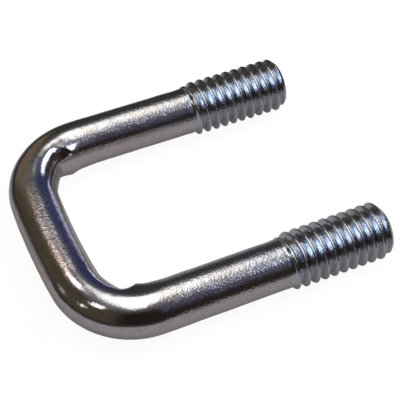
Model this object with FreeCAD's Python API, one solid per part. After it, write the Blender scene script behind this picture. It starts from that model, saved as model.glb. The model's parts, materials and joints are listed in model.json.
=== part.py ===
import FreeCAD, Part

import math
import os

from FreeCAD import Vector

# Square-bend U-bolt: one round bar of steel, bent cold, with a rolled thread on both ends.
# Millimetres and degrees.
#
# The bolt lies flat. X runs across the two legs, +Y runs along the legs from the crown to
# the threaded tips, and +Z is up through the bar's thickness. The origin is the middle of
# the bounding box in X and Y, on the surface that the threads lie on.

# ---- driving dimensions ---------------------------------------------------------------
INCH = 25.4

INSIDE_WIDTH = 24.5             # between the two shanks: nominal 1 inch
CROWN_TO_TIP = 41.4             # crown's centreline to the tips: nominal 1-1/2 inch inside
THREAD_LENGTH = 15.2            # tip to the end of the runout, on each leg

THREAD_DIAMETER = 7.8           # 5/16 inch, class 2A
THREADS_PER_INCH = 18
ROOT_DIAMETER = 6.0
CREST_FLAT_SHARE = 0.125        # of the pitch
FLANK_ANGLE = 60.0              # between the two flanks of a groove
TIP_CHAMFER = 0.7               # at 45 degrees
RUNOUT_TURNS = 1.5              # the groove rises out of the bar over this many turns
CREST_RISE_TURNS = 1.0          # and the crest comes down to the shank over this many
LEFT_CREST_PHASE = 0.08         # where a crest crosses the top of each leg, in pitches
RIGHT_CREST_PHASE = 0.97        # from the crown's centreline

SHANK_DIAMETER = 6.8            # a rolled thread's blank is near the pitch diameter
LEFT_BEND_RADIUS = 8.9          # centreline of the bar; the two bends are not quite alike
RIGHT_BEND_RADIUS = 8.3
CROWN_ARC_RADIUS = 110.0        # the crown springs outward by about 0.25 mm

PUNCH_RADIUS = 3.0              # upright forming pin that marks the inside of each bend
PUNCH_BITE = 0.45               # depth of its mark
PUNCH_DIRECTION = 45.0          # round the bend, from the leg

# ---- worked out from them -------------------------------------------------------------
PITCH = INCH / THREADS_PER_INCH
THREAD_RADIUS = THREAD_DIAMETER / 2
ROOT_RADIUS = ROOT_DIAMETER / 2
SHANK_RADIUS = SHANK_DIAMETER / 2
LEG_X = (INSIDE_WIDTH + SHANK_DIAMETER) / 2
THREAD_START_Y = CROWN_TO_TIP - THREAD_LENGTH
RUNOUT_LENGTH = RUNOUT_TURNS * PITCH
FLANK_SLOPE = math.tan(math.radians(FLANK_ANGLE / 2))
GROOVE_MARGIN = 0.05            # the groove's cutter stands this far proud of the bar

# Y is measured from the middle of the crown's centreline until the bolt is whole.
ORIGIN_SHIFT = Vector(0, (SHANK_RADIUS - CROWN_TO_TIP) / 2, THREAD_RADIUS)


class Bend:
    """One bend's centreline: an arc tangent to its leg and to the crown's long arc."""

    def __init__(self, side, radius):
        self.side = side
        self.radius = radius
        across = LEG_X - radius
        along = math.sqrt((CROWN_ARC_RADIUS - radius) ** 2 - across ** 2)
        self.centre = Vector(side * across, CROWN_ARC_RADIUS - along, 0)
        self.turn = math.atan2(along, across)

    def point(self, angle, radius):
        """A point at that angle round the bend, which is 0 at the leg."""
        return self.centre + Vector(
            self.side * radius * math.cos(angle), -radius * math.sin(angle), 0
        )

    def arc(self):
        """The arc with its end at the leg and its end at the crown."""
        leg_end, middle, crown_end = (
            self.point(self.turn * share, self.radius) for share in (0, 0.5, 1)
        )
        return Part.Arc(leg_end, middle, crown_end).toShape(), leg_end, crown_end

    def punch_mark(self):
        """The forming pin, where it bites a lens shape out of the inside of the bend."""
        inside_radius = self.radius - SHANK_RADIUS
        reach = inside_radius + PUNCH_BITE - PUNCH_RADIUS
        base = self.point(math.radians(PUNCH_DIRECTION), reach) - Vector(0, 0, THREAD_RADIUS)
        return Part.makeCylinder(PUNCH_RADIUS, THREAD_DIAMETER, base, Vector(0, 0, 1))


def plain_bar(left_bend, right_bend):
    """The round bar between the two threads: leg, bend, crown, bend, leg."""
    left_arc, left_leg_end, left_crown_end = left_bend.arc()
    right_arc, right_leg_end, right_crown_end = right_bend.arc()
    left_thread = Vector(-LEG_X, THREAD_START_Y, 0)
    right_thread = Vector(LEG_X, THREAD_START_Y, 0)
    path = Part.Wire([
        Part.LineSegment(left_thread, left_leg_end).toShape(),
        left_arc,
        Part.Arc(left_crown_end, Vector(0, 0, 0), right_crown_end).toShape(),
        right_arc,
        Part.LineSegment(right_leg_end, right_thread).toShape(),
    ])
    section = Part.makeCircle(SHANK_RADIUS, left_thread, Vector(0, 1, 0))
    return path.makePipeShell([Part.Wire([section])], True, False)


# ---- threaded ends, made along +Z with the tip at z = 0 ---------------------------------
def thread_blank():
    """The end of the bar before the groove is cut: a chamfered tip, the major diameter, and
    a short cone down to the shank where the thread runs out. Its outline lies a quarter turn
    from the start of the groove's helix, so that the two seams don't meet."""
    cone_start = THREAD_LENGTH - CREST_RISE_TURNS * PITCH
    outline = Part.makePolygon([
        Vector(0, 0, 0),
        Vector(0, THREAD_RADIUS - TIP_CHAMFER, 0),
        Vector(0, THREAD_RADIUS, TIP_CHAMFER),
        Vector(0, THREAD_RADIUS, cone_start),
        Vector(0, SHANK_RADIUS, THREAD_LENGTH),
        Vector(0, 0, THREAD_LENGTH),
        Vector(0, 0, 0),
    ])
    return Part.Face(outline).revolve(Vector(0, 0, 0), Vector(0, 0, 1), 360)


def groove_cutter(start_z, helix):
    """A V groove with a flat root, swept along a helix that starts at start_z."""
    half_width_at_crest = PITCH * (1 - CREST_FLAT_SHARE) / 2
    half_width_at_root = half_width_at_crest - (THREAD_RADIUS - ROOT_RADIUS) * FLANK_SLOPE
    half_width_at_top = half_width_at_crest + GROOVE_MARGIN * FLANK_SLOPE
    top_radius = THREAD_RADIUS + GROOVE_MARGIN
    profile = Part.makePolygon([
        Vector(ROOT_RADIUS, 0, start_z - half_width_at_root),
        Vector(top_radius, 0, start_z - half_width_at_top),
        Vector(top_radius, 0, start_z + half_width_at_top),
        Vector(ROOT_RADIUS, 0, start_z + half_width_at_root),
        Vector(ROOT_RADIUS, 0, start_z - half_width_at_root),
    ])
    helix.translate(Vector(0, 0, start_z))
    return Part.Wire(helix.Edges).makePipeShell([profile], True, True)


def threaded_end():
    """One threaded end, right-handed: a groove at full depth, then one that rises out of the
    bar on a cone. The two are joined first, so that no wall is left between them."""
    full_depth_end = THREAD_LENGTH - RUNOUT_LENGTH
    full_height = (math.ceil(full_depth_end / PITCH) + 1) * PITCH
    full_helix = Part.makeHelix(PITCH, full_height, ROOT_RADIUS)
    exit_rise = SHANK_RADIUS + GROOVE_MARGIN - ROOT_RADIUS
    cone_angle = math.degrees(math.atan(exit_rise / RUNOUT_LENGTH))
    runout_helix = Part.makeHelix(PITCH, RUNOUT_LENGTH, ROOT_RADIUS, cone_angle)
    full_groove = groove_cutter(full_depth_end - full_height, full_helix)
    runout_groove = groove_cutter(full_depth_end, runout_helix)
    return thread_blank().cut(full_groove.fuse(runout_groove))


def placed_end(end, side, crest_phase):
    """A copy of the threaded end on one leg, turned until a crest on top of the leg lies a
    whole number of pitches, plus crest_phase, from the crown's centreline."""
    groove_at_zero_angle = THREAD_LENGTH - RUNOUT_LENGTH
    crest_on_top = groove_at_zero_angle + PITCH / 4 + PITCH / 2
    wanted = CROWN_TO_TIP - crest_phase * PITCH
    turn = math.degrees((crest_on_top - wanted) / PITCH * 2 * math.pi)
    copy = end.copy()
    copy.rotate(Vector(0, 0, 0), Vector(0, 0, 1), turn)
    copy.rotate(Vector(0, 0, 0), Vector(1, 0, 0), 90)
    copy.translate(Vector(side * LEG_X, CROWN_TO_TIP, 0))
    return copy


def u_bolt():
    """The whole bolt, in the row frame."""
    left_bend = Bend(-1, LEFT_BEND_RADIUS)
    right_bend = Bend(1, RIGHT_BEND_RADIUS)
    bar = plain_bar(left_bend, right_bend)
    bar = bar.cut([left_bend.punch_mark(), right_bend.punch_mark()])
    end = threaded_end()
    left_end = placed_end(end, -1, LEFT_CREST_PHASE)
    right_end = placed_end(end, 1, RIGHT_CREST_PHASE)
    bolt = bar.fuse([left_end, right_end])
    bolt.translate(ORIGIN_SHIFT)
    return bolt


os.makedirs("parts", exist_ok=True)
bolt = u_bolt()
bolt.exportStep("parts/u_bolt.step")
print("valid", bolt.isValid(), "solids", len(bolt.Solids), "volume", round(bolt.Volume, 1))
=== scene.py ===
"""Looks of the square-bend U-bolt: one bar of steel, bright zinc plated, lying flat on its threads.

Metres. The row frame: X runs across the two legs, +Y along the legs from the crown to the
threaded tips, +Z up. The bar is one closed mesh. It is swept along the bar's centreline as
rings of points, and each threaded end is a strip that winds along its helix, so that every
crest and root is a continuous edge of the mesh.
"""

import json
import math

import bmesh
import bpy
import numpy as np
from mathutils import Matrix, Vector, noise


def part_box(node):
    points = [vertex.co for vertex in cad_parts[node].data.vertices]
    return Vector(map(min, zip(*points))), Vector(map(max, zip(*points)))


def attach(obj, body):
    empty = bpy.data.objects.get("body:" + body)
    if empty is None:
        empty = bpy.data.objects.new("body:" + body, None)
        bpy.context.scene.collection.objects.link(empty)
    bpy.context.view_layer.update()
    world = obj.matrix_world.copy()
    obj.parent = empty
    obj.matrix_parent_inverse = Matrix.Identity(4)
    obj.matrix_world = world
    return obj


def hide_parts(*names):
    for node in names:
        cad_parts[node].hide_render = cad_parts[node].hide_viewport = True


MM = 0.001
TURN = 2 * math.pi

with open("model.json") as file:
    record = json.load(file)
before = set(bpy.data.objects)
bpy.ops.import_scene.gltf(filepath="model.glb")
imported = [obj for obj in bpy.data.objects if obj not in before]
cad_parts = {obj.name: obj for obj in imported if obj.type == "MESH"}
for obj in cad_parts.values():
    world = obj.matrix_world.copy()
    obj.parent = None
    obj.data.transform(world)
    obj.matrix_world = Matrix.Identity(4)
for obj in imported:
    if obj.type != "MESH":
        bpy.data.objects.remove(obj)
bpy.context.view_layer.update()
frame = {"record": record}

# ---- driving dimensions, from the frame where it has them --------------------------------
box_low, box_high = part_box("u_bolt")
stud_dims = next(m["dims"] for m in frame["record"]["mounts"] if m["name"] == "leg_studs")

LEG_X = stud_dims["spacing_x_mm"] / 2 * MM
THREAD_RADIUS = stud_dims["stud_r_mm"] * MM
SHANK_RADIUS = 3.4 * MM
AXIS_Z = box_low.z + THREAD_RADIUS
TIP_Y = box_high.y
CROWN_Y = box_low.y + SHANK_RADIUS      # the middle of the crown's centreline

INCH = 25.4                             # in millimetres
THREADS_PER_INCH = 18
PITCH = INCH / THREADS_PER_INCH * MM
ROOT_RADIUS = 3.0 * MM
THREAD_LENGTH = 15.2 * MM
THREAD_START_Y = TIP_Y - THREAD_LENGTH
CREST_PHASE = {-1: 0.08, 1: 0.97}       # in pitches from CROWN_Y, on top of each leg
CREST_HALF_WIDTH = 0.075                # in pitches
CREST_CREASE_WIDTH = 0.035              # in pitches
CREST_CREASE_DEPTH = 0.02 * MM          # rolling leaves a seam along the crest
CREST_ROUNDING = 0.10 * MM
ROOT_ROUNDING = 0.11 * MM
RUNOUT_TURNS = 1.5                      # the groove reaches its depth over this many turns
CREST_RISE_TURNS = 1.0                  # and the crest its height over this many
FLANK_ANGLE = 60.0                      # between the two flanks of a groove, in degrees
FLANK_RISE = 1 / math.tan(math.radians(FLANK_ANGLE / 2))
TIP_CHAMFER = 0.7 * MM                  # at 45 degrees
CHAMFER_ROUNDING = 0.1 * MM
TIP_DISH = 0.18 * MM
TIP_RIPPLE_SIZE = 0.7 * MM              # the shears leave the tip's face uneven
TIP_RIPPLE_DEPTH = 0.05 * MM

BEND_RADIUS = {-1: 8.9 * MM, 1: 8.3 * MM}
CROWN_ARC_RADIUS = 110.0 * MM

BAR_RIPPLES = ((2.6 * MM, 0.026 * MM), (0.9 * MM, 0.008 * MM))      # size and depth of each
RIPPLE_FADE = 1.0 * MM                  # they die out over this length before the thread

# ---- mesh density -----------------------------------------------------------------------
COLUMNS = 108                           # points round the bar
# rows from a crest to the middle of a groove, in pitches, close where the profile turns
THREAD_ROWS = (0, 0.018, 0.04, 0.07, 0.11, 0.17, 0.26, 0.35, 0.41, 0.455, 0.5)
# rings on the tip's face, as shares of its radius
TIP_RINGS = (0.97, 0.92, 0.84, 0.74, 0.62, 0.5, 0.38, 0.26, 0.14, 0.06)
CROWN_STEP = 0.27 * MM
BEND_STEP = 0.14 * MM
MARK_STEP = 0.17 * MM                   # along the leg where the bend's mark starts
LEG_STEP = 0.42 * MM
MARK_REACH = 3.6 * MM                   # how far along the leg that is
MERGE_DISTANCE = 1e-4 * MM
SHARP_EDGE = math.radians(50)
TIP_MARKER = 3.0        # the thread_depth attribute: 0 on the plain bar, 1 to 2 on a thread, this on a tip

# ---- marks that cold bending leaves on the inside of each bend ----------------------------
# Angles are in degrees, round the bend from the leg, except the two spans, which are round the
# bar's section from its innermost line.
LIP_HEIGHT = 0.36 * MM
LIP_START = -17.0
LIP_FULL = 4.0                          # the lip's first rise ends here
LIP_FIRST_SHARE = 0.45                  # of its height; the rest comes on the way to the crest
LIP_OVERLAP = 4.0                       # between the two rises, and past the crest
CREST_START = 12.5                      # where the crest crosses the innermost line
CREST_SWEEP = 17.5                      # how much further round it lies at the mark's end
CREST_SWEEP_POWER = 2.6
LEAST_WALL = 2.0                        # from the crest to the valley
WALL_POWER = 1.3
VALLEY_START = 36.0
VALLEY_SWEEP = -2.0
RECESS_DEPTH = 0.47 * MM
RECESS_END = 66.0
RECESS_POWER = 1.8
MARK_HALF_SPAN = 72.0
MARK_FULL_SPAN = 40.0


def smooth_step(value, start, end):
    """0 before start, 1 after end, with no corner in between."""
    share = np.clip((value - start) / (end - start), 0, 1)
    return share * share * (3 - 2 * share)


def smooth_max(first, second, rounding):
    """The greater of the two, with the corner between them rounded."""
    gap = np.maximum(rounding - np.abs(first - second), 0)
    return np.maximum(first, second) + gap * gap / (4 * rounding)


def smooth_min(first, second, rounding):
    """The lesser of the two, with the corner between them rounded."""
    return -smooth_max(-first, -second, rounding)


# ---- the plain bar ------------------------------------------------------------------------
class Stations:
    """Places along one half of the bar, from the crown's middle to the start of the thread.

    Each has a point on the centreline, the direction that is outward there, its angle round
    the bend in degrees (below 0 on the leg, above the bend's own turn on the crown) and its
    distance along the bar.
    """

    def __init__(self, side):
        self.side = side
        radius = BEND_RADIUS[side]
        across = LEG_X - radius
        along = math.sqrt((CROWN_ARC_RADIUS - radius) ** 2 - across ** 2)
        bend_y = CROWN_Y + CROWN_ARC_RADIUS - along
        bend_turn = math.atan2(along, across)
        crown_turn = math.pi / 2 - bend_turn
        leg_length = THREAD_START_Y - bend_y

        crown_length = CROWN_ARC_RADIUS * crown_turn
        bend_length = radius * bend_turn
        on_crown = self.spread(0, crown_length, CROWN_STEP)[:-1]
        on_bend = crown_length + self.spread(0, bend_length, BEND_STEP)[:-1]
        on_mark = crown_length + bend_length + self.spread(0, MARK_REACH, MARK_STEP)[:-1]
        on_leg = crown_length + bend_length + self.spread(MARK_REACH, leg_length, LEG_STEP)
        self.distance = np.concatenate([on_crown, on_bend, on_mark, on_leg])

        crown_part = np.minimum(self.distance, crown_length)
        bend_part = np.clip(self.distance - crown_length, 0, bend_length)
        leg_part = np.maximum(self.distance - crown_length - bend_length, 0)
        heading = crown_part / CROWN_ARC_RADIUS + bend_part / radius
        on_arc = self.distance <= crown_length
        centre_x = np.where(on_arc, 0, across)
        centre_y = np.where(on_arc, CROWN_Y + CROWN_ARC_RADIUS, bend_y)
        arc_radius = np.where(on_arc, CROWN_ARC_RADIUS, radius)
        self.x = side * (centre_x + arc_radius * np.sin(heading))
        self.y = centre_y - arc_radius * np.cos(heading) + leg_part
        self.outward_x = side * np.sin(heading)
        self.outward_y = -np.cos(heading)
        from_leg = bend_length - bend_part - leg_part + (crown_length - crown_part)
        self.angle = np.degrees(from_leg / radius)

    @staticmethod
    def spread(start, end, step):
        """Evenly spread distances from start to end, about one step apart."""
        return np.linspace(start, end, math.ceil((end - start) / step) + 1)


def bend_mark(angle, inner):
    """How far the forming tool's mark stands proud of the bar, or is sunk in it: metal pushed
    up into a lip on the leg's side, a crisp crest, a steep wall and a scoop beyond it. The
    angle is round the bend, and inner is round the section from the innermost line."""
    from_innermost = np.abs(inner)
    span = np.clip(from_innermost / MARK_HALF_SPAN, 0, 1)
    fade = 1 - smooth_step(from_innermost, MARK_FULL_SPAN, MARK_HALF_SPAN)
    crest = CREST_START + CREST_SWEEP * span ** CREST_SWEEP_POWER
    valley = VALLEY_START + VALLEY_SWEEP * span
    first_rise = smooth_step(angle, LIP_START, LIP_FULL)
    second_rise = smooth_step(angle, LIP_FULL - LIP_OVERLAP, crest + LIP_OVERLAP)
    lip = LIP_HEIGHT * (LIP_FIRST_SHARE * first_rise + (1 - LIP_FIRST_SHARE) * second_rise)
    down = np.clip((angle - crest) / np.maximum(valley - crest, LEAST_WALL), 0, 1)
    wall = -RECESS_DEPTH + (RECESS_DEPTH + LIP_HEIGHT) * (1 - down) ** WALL_POWER
    back_up = np.clip((angle - valley) / (RECESS_END - valley), 0, 1)
    scoop = -RECESS_DEPTH * (1 - back_up) ** RECESS_POWER
    return fade * np.where(angle < crest, lip, np.where(down < 1, wall, scoop))


def ripple(points, size, depth):
    """A shallow unevenness, only ever inward, from noise of that size."""
    values = [noise.noise(Vector(point) / size) for point in points.reshape(-1, 3)]
    return depth * (np.array(values).reshape(points.shape[:-1]) - 1)


def shank_half(side):
    """Points of one half of the plain bar, a ring for each station, and their places on the
    bar as if it were straight."""
    stations = Stations(side)
    section = np.arange(COLUMNS) / COLUMNS * TURN
    shape = (len(stations.distance), COLUMNS)
    across = np.broadcast_to(np.cos(section), shape)
    up = np.broadcast_to(np.sin(section), shape)
    along = np.broadcast_to(side * stations.distance[:, None], shape)
    straight = np.stack([SHANK_RADIUS * across, along, SHANK_RADIUS * up], -1)
    inner = np.degrees(section - math.pi)
    mark = bend_mark(stations.angle[:, None], inner[None, :])
    to_thread = stations.distance[-1] - stations.distance
    fade = smooth_step(to_thread, 0, RIPPLE_FADE)
    uneven = sum(ripple(straight, size, depth) for size, depth in BAR_RIPPLES)
    radius = SHANK_RADIUS + mark + fade[:, None] * uneven
    points = np.stack([
        stations.x[:, None] + radius * across * stations.outward_x[:, None],
        stations.y[:, None] + radius * across * stations.outward_y[:, None],
        AXIS_Z + radius * up,
    ], -1)
    return points, straight


# ---- threads ------------------------------------------------------------------------------
def thread_profile(share):
    """Depth below the crest, as a share of the full depth, at a distance from the crest that
    is given in pitches."""
    full_depth = THREAD_RADIUS - ROOT_RADIUS
    from_crest = np.abs(share)
    flank = (from_crest - CREST_HALF_WIDTH) * PITCH * FLANK_RISE
    depth = smooth_max(flank, 0, CREST_ROUNDING)
    depth = smooth_min(depth, full_depth, ROOT_ROUNDING)
    crease = CREST_CREASE_DEPTH * (1 - smooth_step(from_crest, 0, CREST_CREASE_WIDTH))
    return (depth + crease) / full_depth


def thread_radius(y, share):
    """The bar's radius on the thread, from the runout to the chamfered tip."""
    from_start = y - THREAD_START_Y
    crest_rise = smooth_step(from_start, 0, CREST_RISE_TURNS * PITCH)
    groove_fall = smooth_step(from_start, 0, RUNOUT_TURNS * PITCH)
    crest = SHANK_RADIUS + (THREAD_RADIUS - SHANK_RADIUS) * crest_rise
    root = SHANK_RADIUS + (ROOT_RADIUS - SHANK_RADIUS) * groove_fall
    radius = crest - (crest - root) * thread_profile(share)
    return smooth_min(radius, THREAD_RADIUS - TIP_CHAMFER + TIP_Y - y, CHAMFER_ROUNDING)


def thread_strip(side):
    """Points of one threaded end, their straight places, and how deep in the groove they are.
    Rows follow the helix; beyond the thread's two ends they are gathered on its end rings. The
    first rows start early enough for the whole turn that each one takes."""
    half = np.array(THREAD_ROWS)
    shares = np.concatenate([half, 1 - half[-2:0:-1]])
    phase_y = CROWN_Y + CREST_PHASE[side] * PITCH
    first = math.floor((THREAD_START_Y - phase_y) / PITCH) - 2
    last = math.ceil((TIP_Y - phase_y) / PITCH) + 1
    rows = (np.arange(first, last)[:, None] + shares[None, :]).ravel()
    turn = np.arange(COLUMNS + 1) / COLUMNS             # from +Z towards +X: right-handed
    y = phase_y + PITCH * (rows[:, None] + turn[None, :])
    y = np.clip(y, THREAD_START_Y, TIP_Y)
    share = (y - phase_y) / PITCH - turn[None, :]
    share = share - np.round(share)
    radius = thread_radius(y, share)
    x = radius * np.sin(turn * TURN)[None, :]
    z = radius * np.cos(turn * TURN)[None, :]
    half_length = Stations(side).distance[-1]
    straight = np.stack([side * x, side * (half_length + y - THREAD_START_Y), z], -1)
    points = np.stack([side * LEG_X + x, y, AXIS_Z + z], -1)
    depth = (THREAD_RADIUS - radius) / (THREAD_RADIUS - ROOT_RADIUS)
    return points, straight, np.clip(depth, 0, 1)


def tip_cap(side, rim, rim_straight):
    """Rings that close the sheared end, which is slightly dished."""
    shares = np.array(TIP_RINGS)[:, None, None]
    centre = np.array([side * LEG_X, TIP_Y, AXIS_Z])
    rings = centre + (rim - centre)[None, :, :] * shares
    rings[..., 1] -= TIP_DISH * (1 - shares[..., 0] ** 2)
    rings[..., 1] += ripple(rings, TIP_RIPPLE_SIZE, TIP_RIPPLE_DEPTH)
    straight_centre = np.array([0, rim_straight[0, 1], 0])
    straight = straight_centre + (rim_straight - straight_centre)[None, :, :] * shares
    return rings, straight


# ---- one closed mesh -------------------------------------------------------------------------
class MeshParts:
    """Gathers grids of points into one list of vertices and faces."""

    def __init__(self):
        self.points = []
        self.straight = []
        self.thread = []
        self.faces = []
        self.count = 0

    def add_points(self, points, straight, thread):
        flat = points.reshape(-1, 3)
        self.points.append(flat)
        self.straight.append(straight.reshape(-1, 3))
        self.thread.append(np.broadcast_to(thread, points.shape[:-1]).reshape(-1))
        index = self.count + np.arange(len(flat)).reshape(points.shape[:-1])
        self.count += len(flat)
        return index

    def add_grid(self, index, closed):
        """Four-sided faces between neighbouring rows and columns."""
        if closed:
            index = np.concatenate([index, index[:, :1]], 1)
        corners = [index[:-1, :-1], index[:-1, 1:], index[1:, 1:], index[1:, :-1]]
        self.faces.extend(np.stack(corners, -1).reshape(-1, 4).tolist())

    def add_fan(self, ring, centre):
        for first, second in zip(ring, np.roll(ring, -1)):
            self.faces.append([int(first), int(second), int(centre)])


def bolt_mesh():
    """The whole bar as one closed mesh."""
    parts = MeshParts()
    halves = {side: shank_half(side) for side in (-1, 1)}
    # the left half runs backwards from its thread, and shares the crown's middle with the right
    points = np.concatenate([halves[-1][0][:0:-1], halves[1][0]])
    straight = np.concatenate([halves[-1][1][:0:-1], halves[1][1]])
    parts.add_grid(parts.add_points(points, straight, 0.0), closed=True)
    for side in (-1, 1):
        points, straight, depth = thread_strip(side)
        parts.add_grid(parts.add_points(points, straight, 1.0 + depth), closed=False)
        rim, rim_straight = points[-1, :COLUMNS], straight[-1, :COLUMNS]
        rings, rings_straight = tip_cap(side, rim, rim_straight)
        rings = np.concatenate([rim[None], rings])
        rings_straight = np.concatenate([rim_straight[None], rings_straight])
        index = parts.add_points(rings, rings_straight, TIP_MARKER)
        parts.add_grid(index, closed=True)
        middle = parts.add_points(rings[-1].mean(0)[None], rings_straight[-1].mean(0)[None], TIP_MARKER)
        parts.add_fan(index[-1], middle[0])

    mesh = bpy.data.meshes.new("u_bolt_plated_bar")
    mesh.from_pydata(np.concatenate(parts.points).tolist(), [], parts.faces)
    place = mesh.attributes.new("straight_place", "FLOAT_VECTOR", "POINT")
    place.data.foreach_set("vector", np.concatenate(parts.straight).astype(np.float32).ravel())
    thread = mesh.attributes.new("thread_depth", "FLOAT", "POINT")
    thread.data.foreach_set("value", np.concatenate(parts.thread).astype(np.float32))

    work = bmesh.new()
    work.from_mesh(mesh)
    bmesh.ops.remove_doubles(work, verts=work.verts, dist=MERGE_DISTANCE)
    bmesh.ops.dissolve_degenerate(work, dist=MERGE_DISTANCE, edges=work.edges)
    bmesh.ops.recalc_face_normals(work, faces=work.faces)
    for face in work.faces:
        face.smooth = True
    open_edges = 0
    for edge in work.edges:
        if len(edge.link_faces) == 2:
            edge.smooth = edge.calc_face_angle() < SHARP_EDGE
        else:
            open_edges += 1
    triangles = sum(len(face.verts) - 2 for face in work.faces)
    print("bolt mesh:", triangles, "triangles,", open_edges, "open edges")
    work.to_mesh(mesh)
    work.free()
    return mesh


# ---- material -------------------------------------------------------------------------------
class Nodes:
    """A few short ways to make and join shader nodes."""

    def __init__(self, tree):
        self.tree = tree
        self.tree.nodes.clear()

    def make(self, kind, inputs=None, **settings):
        node = self.tree.nodes.new(kind)
        for name, value in settings.items():
            setattr(node, name, value)
        for name, value in (inputs or {}).items():
            self.put(node, name, value)
        return node

    def put(self, node, name, value):
        if isinstance(value, bpy.types.NodeSocket):
            self.tree.links.new(value, node.inputs[name])
        else:
            node.inputs[name].default_value = value

    def math(self, operation, first, second=0.0, third=0.0):
        return self.make(
            "ShaderNodeMath", {0: first, 1: second, 2: third}, operation=operation
        ).outputs[0]

    def map_range(self, value, low, high, to_low=0.0, to_high=1.0):
        """to_low where the value is low, to_high where it is high, with no corner in between."""
        return self.make(
            "ShaderNodeMapRange",
            {"Value": value, "From Min": low, "From Max": high, "To Min": to_low, "To Max": to_high},
            interpolation_type="SMOOTHSTEP",
        ).outputs[0]

    def mix(self, factor, first, second):
        """A mix of two colours, by the numbers that Blender gives its colour sockets."""
        node = self.make("ShaderNodeMix", data_type="RGBA")
        self.put(node, 0, factor)
        self.put(node, 6, first)
        self.put(node, 7, second)
        return node.outputs[2]

    def noise(self, place, scale, detail=2.0, roughness=0.5):
        """scale is in features per millimetre; place is in millimetres."""
        return self.make(
            "ShaderNodeTexNoise",
            {"Vector": place, "Scale": scale, "Detail": detail, "Roughness": roughness},
        ).outputs["Fac"]

    def dot(self, first, second):
        return self.make(
            "ShaderNodeVectorMath", {0: first, 1: second}, operation="DOT_PRODUCT"
        ).outputs["Value"]

    def stretched(self, place, factors):
        return self.make(
            "ShaderNodeVectorMath", {0: place, 1: factors}, operation="MULTIPLY"
        ).outputs[0]


# Bending stretches the bar smooth; elsewhere the plating shows the bar's grain.
BEND_MIDDLE = 14.0 * MM                 # along the bar, from the crown's middle
SMOOTH_REACH = 4.0 * MM                 # to each side of that
SMOOTH_FADE = 2.4                       # times the reach, where the grain is back in full

PALE = (0.66, 0.65, 0.67, 1)
WARM = (0.68, 0.63, 0.60, 1)
BLUE = (0.57, 0.63, 0.71, 1)
# painted shade: a darker brown laid on the thread's crests
CREST_PAINTED_SHADE = (0.50, 0.44, 0.37, 1)
DULL = (0.40, 0.39, 0.41, 1)
# painted shade: a dark colour laid in the thread's grooves
GROOVE_PAINTED_SHADE = (0.24, 0.22, 0.20, 1)

# noises over the bar: features per millimetre, detail, roughness
PATCHES = (0.22, 3.0, 0.5)
MOTTLE = (1.1, 4.0, 0.65)
GRAIN = (4.3, 1.5, 0.6)
SPECKLE = (5.5, 2.0, 0.6)
DRAW_LINES = (5.0, 3.0, 0.5)
DRAW_LINE_STRETCH = (1.0, 0.05, 1.0)    # they run along the bar, twenty times longer than wide

# where a noise starts and ends taking effect
PATCH_EDGES = (0.38, 0.62)
MOTTLE_EDGES = (0.35, 0.70)
SPECKLE_EDGES = (0.42, 0.62)
SHINE_EDGES = (0.3, 0.7)
TIP_EDGES = (0.35, 0.65)

# the same for the thread_depth attribute
GROOVE_RANGE = (1.25, 2.0)
CREST_RANGE = (1.05, 1.35)
TIP_RANGE = (2.2, TIP_MARKER)

# how much of each colour is laid over the plating
DULL_MOTTLE = 0.35
DULL_SPECKLE = 0.45
BLUE_ON_THREAD = 0.7
# the next two are shares of painted shade, in the grooves and on the crests
GROOVE_PAINTED_SHADE_SHARE = 0.15
CREST_PAINTED_SHADE_SHARE = 0.25
DULL_ON_TIP = (0.2, 0.8)

ROUGHNESS = (0.07, 0.13)
ROUGHER_FROM_BEND = 0.03
ROUGHER_ON_THREAD = -0.02
ROUGHER_IN_GROOVE = 0.04
ROUGHER_ON_TIP = 0.24

GRAIN_HEIGHT = 0.040 * MM
GRAIN_AT_BEND = 0.25                    # as a share of the grain away from the bend
GRAIN_ON_THREAD = 0.7
DRAW_LINE_HEIGHT = 0.004 * MM


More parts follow.
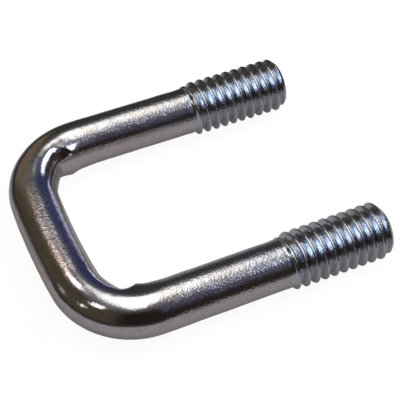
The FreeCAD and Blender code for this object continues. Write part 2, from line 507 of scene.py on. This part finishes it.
def zinc_plated_steel():
    """Bright zinc over drawn and rolled steel: pale and warmer patches, dull mottle and speckle,
    a fine grain with faint draw lines, a blue cast on the threads with painted shade on the
    crests and in the grooves, and dull sheared tips."""
    material = bpy.data.materials.new("zinc_plated_steel")
    material.use_nodes = True
    n = Nodes(material.node_tree)

    attribute = n.make("ShaderNodeAttribute", attribute_name="straight_place")
    place = n.stretched(attribute.outputs["Vector"], (1 / MM, 1 / MM, 1 / MM))
    thread = n.make("ShaderNodeAttribute", attribute_name="thread_depth").outputs["Fac"]
    on_thread = n.map_range(thread, 0.0, 1.0)
    groove = n.map_range(thread, *GROOVE_RANGE)
    tip = n.map_range(thread, *TIP_RANGE)
    crest = n.math("MULTIPLY", on_thread, n.map_range(thread, *CREST_RANGE, 1.0, 0.0))

    along = n.make("ShaderNodeSeparateXYZ", {0: place}).outputs[1]
    from_bend = n.math("ABSOLUTE", n.math("SUBTRACT", n.math("ABSOLUTE", along), BEND_MIDDLE / MM))
    away = n.map_range(from_bend, SMOOTH_REACH / MM, SMOOTH_REACH / MM * SMOOTH_FADE)

    patches = n.noise(place, *PATCHES)
    mottle = n.noise(place, *MOTTLE)
    grain = n.noise(place, *GRAIN)
    speckle = n.noise(place, *SPECKLE)
    lines = n.noise(n.stretched(place, DRAW_LINE_STRETCH), *DRAW_LINES)

    dull_tip = n.math("MULTIPLY", tip, n.map_range(mottle, *TIP_EDGES, *DULL_ON_TIP))
    colour = n.mix(n.map_range(patches, *PATCH_EDGES), PALE, WARM)
    colour = n.mix(n.map_range(mottle, *MOTTLE_EDGES, 0.0, DULL_MOTTLE), colour, DULL)
    colour = n.mix(n.map_range(speckle, *SPECKLE_EDGES, 0.0, DULL_SPECKLE), colour, DULL)
    colour = n.mix(n.math("MULTIPLY", on_thread, BLUE_ON_THREAD), colour, BLUE)
    # painted shade in the thread's grooves
    colour = n.mix(n.math("MULTIPLY", groove, GROOVE_PAINTED_SHADE_SHARE), colour, GROOVE_PAINTED_SHADE)
    # painted shade on the thread's crests
    colour = n.mix(n.math("MULTIPLY", crest, CREST_PAINTED_SHADE_SHARE), colour, CREST_PAINTED_SHADE)
    colour = n.mix(dull_tip, colour, DULL)

    roughness = n.map_range(mottle, *SHINE_EDGES, *ROUGHNESS)
    roughness = n.math("MULTIPLY_ADD", away, ROUGHER_FROM_BEND, roughness)
    roughness = n.math("MULTIPLY_ADD", on_thread, ROUGHER_ON_THREAD, roughness)
    roughness = n.math("MULTIPLY_ADD", groove, ROUGHER_IN_GROOVE, roughness)
    roughness = n.math("MULTIPLY_ADD", tip, ROUGHER_ON_TIP, roughness)

    depth = n.math("MULTIPLY_ADD", away, 1 - GRAIN_AT_BEND, GRAIN_AT_BEND)
    depth = n.math("MULTIPLY", depth, n.map_range(on_thread, 0.0, 1.0, 1.0, GRAIN_ON_THREAD))
    depth = n.math("ADD", depth, tip)
    grain_bump = n.make(
        "ShaderNodeBump",
        {"Strength": 1.0, "Distance": GRAIN_HEIGHT, "Height": n.math("MULTIPLY", grain, depth)},
    )
    bump = n.make(
        "ShaderNodeBump",
        {
            "Strength": 1.0,
            "Distance": DRAW_LINE_HEIGHT,
            "Height": lines,
            "Normal": grain_bump.outputs[0],
        },
    )

    shader = n.make(
        "ShaderNodeBsdfPrincipled",
        {"Base Color": colour, "Metallic": 1.0, "Roughness": roughness, "Normal": bump.outputs[0]},
    )
    n.make("ShaderNodeOutputMaterial", {"Surface": shader.outputs[0]})
    return material


# ---- studio ------------------------------------------------------------------------------------
# Directions are seen from the bolt: azimuth from +X towards +Y, elevation above the floor,
# in degrees. Colours are linear light.
#
# Panels on the walls: name, azimuth, elevation, width, height, edge softness, colour.
WALLS = (
    ("olive_wall", -110, 22, 150, 60, 26, (0.085, 0.070, 0.046)),
    ("dark_wall", -8, 25, 70, 60, 25, (0.022, 0.018, 0.015)),
    ("brown_wall", -166, 25, 38, 56, 14, (0.19, 0.145, 0.105)),
    ("grey_green_wall", 163, 20, 24, 66, 8, (0.045, 0.050, 0.046)),
    ("navy_wall", 133, 26, 40, 50, 12, (0.046, 0.050, 0.125)),
    ("sky_window", 81, 45, 76, 30, 10, (2.7, 3.1, 3.9)),
    ("purple_wall", 33, 42, 34, 26, 14, (0.13, 0.12, 0.20)),
    ("horizon_glow", 128, 2, 44, 5, 3, (0.70, 0.70, 1.05)),
)
# Round lamps and lit ceilings: name, azimuth, elevation, half width, half height, edge softness
# as a share of the size, colour.
LAMPS = (
    ("grey_ceiling", 160, 82, 26, 34, 0.45, (0.27, 0.27, 0.30)),
    ("white_ceiling", 156, 82, 12.5, 28, 0.22, (2.1, 2.1, 2.05)),
    ("pink_halo", -154, 53, 15, 10, 0.7, (0.20, 0.16, 0.14)),
    ("pink_lamp", -152, 57.5, 8, 5, 0.5, (3.6, 3.1, 2.9)),
    ("near_lamp", -78, 54, 4.5, 7, 0.4, (4.2, 4.2, 4.2)),
    ("small_lamp", -84, 26.5, 3, 4, 0.4, (2.0, 2.1, 1.8)),
    ("low_lamp", -110, 14, 5, 5, 0.6, (0.5, 0.47, 0.45)),
)
ROOM_COLOUR = (0.060, 0.048, 0.038)
BACKDROP_COLOUR = (0.97, 0.97, 0.97)    # what the camera sees beyond the floor
HALF_TURN = 180.0


def wall_share(n, azimuth, elevation, wall):
    """1 inside a panel between two azimuths and two elevations, 0 outside it."""
    _, centre, height_centre, width, height, soft, _ = wall
    sideways = n.math("WRAP", n.math("SUBTRACT", azimuth, float(centre)), HALF_TURN, -HALF_TURN)
    sideways = n.math("ABSOLUTE", sideways)
    upward = n.math("ABSOLUTE", n.math("SUBTRACT", elevation, float(height_centre)))
    inside_width = n.map_range(sideways, (width + soft) / 2, (width - soft) / 2)
    inside_height = n.map_range(upward, (height + soft) / 2, (height - soft) / 2)
    return n.math("MULTIPLY", inside_width, inside_height)


def lamp_share(n, direction, lamp):
    """1 inside an ellipse round one direction, 0 outside it."""
    _, azimuth, elevation, half_width, half_height, soft, _ = lamp
    turn, rise = math.radians(azimuth), math.radians(elevation)
    middle = Vector((math.cos(turn) * math.cos(rise), math.sin(turn) * math.cos(rise), math.sin(rise)))
    sideways = Vector((-math.sin(turn), math.cos(turn), 0)) / math.sin(math.radians(half_width))
    upward = Vector((0, 0, 1)) - middle * middle.z
    upward = upward.normalized() / math.sin(math.radians(half_height))
    across = n.dot(direction, sideways)
    along = n.dot(direction, upward)
    away = n.math("SQRT", n.math("MULTIPLY_ADD", across, across, n.math("MULTIPLY", along, along)))
    ahead = n.math("GREATER_THAN", n.dot(direction, middle), 0.0)
    return n.math("MULTIPLY", ahead, n.map_range(away, 1 + soft, 1 - soft))


def room():
    """The studio round the bolt: dim walls, a window, a bright ceiling and small lamps. The
    bolt and the floor are lit by it, and the camera sees a plain pale backdrop instead."""
    world = bpy.data.worlds.new("studio")
    bpy.context.scene.world = world
    world.use_nodes = True
    n = Nodes(world.node_tree)
    direction = n.make("ShaderNodeTexCoord").outputs["Generated"]
    parts = n.make("ShaderNodeSeparateXYZ", {0: direction})
    azimuth = n.math("ARCTAN2", parts.outputs[1], parts.outputs[0])
    azimuth = n.math("MULTIPLY", azimuth, HALF_TURN / math.pi)
    elevation = n.math("ARCSINE", parts.outputs[2])
    elevation = n.math("MULTIPLY", elevation, HALF_TURN / math.pi)
    colour = (*ROOM_COLOUR, 1)
    for wall in WALLS:
        colour = n.mix(wall_share(n, azimuth, elevation, wall), colour, (*wall[-1], 1))
    for lamp in LAMPS:
        colour = n.mix(lamp_share(n, direction, lamp), colour, (*lamp[-1], 1))
    light = n.make("ShaderNodeBackground", {"Color": colour, "Strength": 1.0})
    backdrop = n.make("ShaderNodeBackground", {"Color": (*BACKDROP_COLOUR, 1), "Strength": 1.0})
    seen = n.make("ShaderNodeLightPath").outputs["Is Camera Ray"]
    both = n.make("ShaderNodeMixShader", {0: seen, 1: light.outputs[0], 2: backdrop.outputs[0]})
    n.make("ShaderNodeOutputWorld", {"Surface": both.outputs[0]})


# ---- floor -------------------------------------------------------------------------------------
FLOOR_SIZE = 6.0
# The bolt reflects a painted pool of light: a matte floor with a painted glow of its own, and a painted
# dim floor beyond it.
FLOOR_COLOUR = (0.40, 0.37, 0.355, 1)
FLOOR_PAINTED_GLOW = (0.125, 0.112, 0.108, 1)
FLOOR_PAINTED_DIM = (0.045, 0.042, 0.040, 1)
PAINTED_POOL_MIDDLE = Vector((8.0, 0.0, 0.0)) * MM
PAINTED_POOL_FULL = 34.0 * MM                   # radius of the painted pool where its painted glow is full
PAINTED_POOL_END = 50.0 * MM
# The camera sees a pale glow, with a weak matte part that takes the bolt's faint shadow.
FLOOR_SEEN = (0.94, 0.94, 0.94, 1)
FLOOR_SHADED = (0.12, 0.12, 0.12, 1)


def floor():
    """A plain pale floor, brighter to the camera than in the bolt, and see-through from below."""
    mesh = bpy.data.meshes.new("floor")
    half = FLOOR_SIZE / 2
    corners = [(-half, -half, 0), (half, -half, 0), (half, half, 0), (-half, half, 0)]
    mesh.from_pydata(corners, [], [(0, 1, 2, 3)])
    sheet = bpy.data.objects.new("floor", mesh)
    sheet.location.z = box_low.z
    bpy.context.scene.collection.objects.link(sheet)

    material = bpy.data.materials.new("floor")
    material.use_nodes = True
    mesh.materials.append(material)
    n = Nodes(material.node_tree)
    # painted pool of light: the matte floor plus a painted glow near the bolt
    matte = n.make("ShaderNodeBsdfDiffuse", {"Color": FLOOR_COLOUR})
    glow = n.make("ShaderNodeEmission", {"Color": FLOOR_PAINTED_GLOW, "Strength": 1.0})
    lit = n.make("ShaderNodeAddShader", {0: matte.outputs[0], 1: glow.outputs[0]})
    # painted shade: beyond the pool the floor is a dim emission
    dim = n.make("ShaderNodeEmission", {"Color": FLOOR_PAINTED_DIM, "Strength": 1.0})
    position = n.make("ShaderNodeNewGeometry").outputs["Position"]
    distance = n.make("ShaderNodeVectorMath", {0: position, 1: PAINTED_POOL_MIDDLE}, operation="DISTANCE")
    beyond = n.map_range(distance.outputs["Value"], PAINTED_POOL_FULL, PAINTED_POOL_END)
    reflected = n.make("ShaderNodeMixShader", {0: beyond, 1: lit.outputs[0], 2: dim.outputs[0]})
    pale = n.make("ShaderNodeEmission", {"Color": FLOOR_SEEN, "Strength": 1.0})
    seen_matte = n.make("ShaderNodeBsdfDiffuse", {"Color": FLOOR_SHADED})
    seen = n.make("ShaderNodeAddShader", {0: seen_matte.outputs[0], 1: pale.outputs[0]})
    camera_ray = n.make("ShaderNodeLightPath").outputs["Is Camera Ray"]
    either = n.make("ShaderNodeMixShader", {0: camera_ray, 1: reflected.outputs[0], 2: seen.outputs[0]})
    open_below = n.make("ShaderNodeBsdfTransparent")
    below = n.make("ShaderNodeNewGeometry").outputs["Backfacing"]
    whole = n.make("ShaderNodeMixShader", {0: below, 1: either.outputs[0], 2: open_below.outputs[0]})
    n.make("ShaderNodeOutputMaterial", {"Surface": whole.outputs[0]})


# ---- camera ------------------------------------------------------------------------------------
CAMERA_PLACE = Vector((95.798, -42.103, 122.781)) * MM
CAMERA_TARGET = Vector((4.220, 0.668, 7.761)) * MM
CAMERA_ROLL = math.radians(0.940)
LENS = 103.5
CLIP_START = 0.01
CLIP_END = 10.0


def camera():
    """Looks down at the bolt from beyond its right leg."""
    data = bpy.data.cameras.new("camera")
    data.lens = LENS
    data.clip_start = CLIP_START
    data.clip_end = CLIP_END
    eye = bpy.data.objects.new("camera", data)
    bpy.context.scene.collection.objects.link(eye)
    aim = (CAMERA_TARGET - CAMERA_PLACE).to_track_quat("-Z", "Y").to_matrix().to_4x4()
    eye.matrix_world = Matrix.Translation(CAMERA_PLACE) @ aim @ Matrix.Rotation(CAMERA_ROLL, 4, "Z")
    bpy.context.scene.camera = eye


# ---- the scene ----------------------------------------------------------------------------------
def u_bolt():
    """The plated bar, which stands for the CAD node and rides on its body."""
    bolt = bpy.data.objects.new("u_bolt_plated_bar", bolt_mesh())
    bpy.context.scene.collection.objects.link(bolt)
    bolt.data.materials.append(zinc_plated_steel())
    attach(bolt, "root")
    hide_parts("u_bolt")


u_bolt()
floor()
room()
camera()
bpy.context.scene.view_settings.view_transform = "Standard"
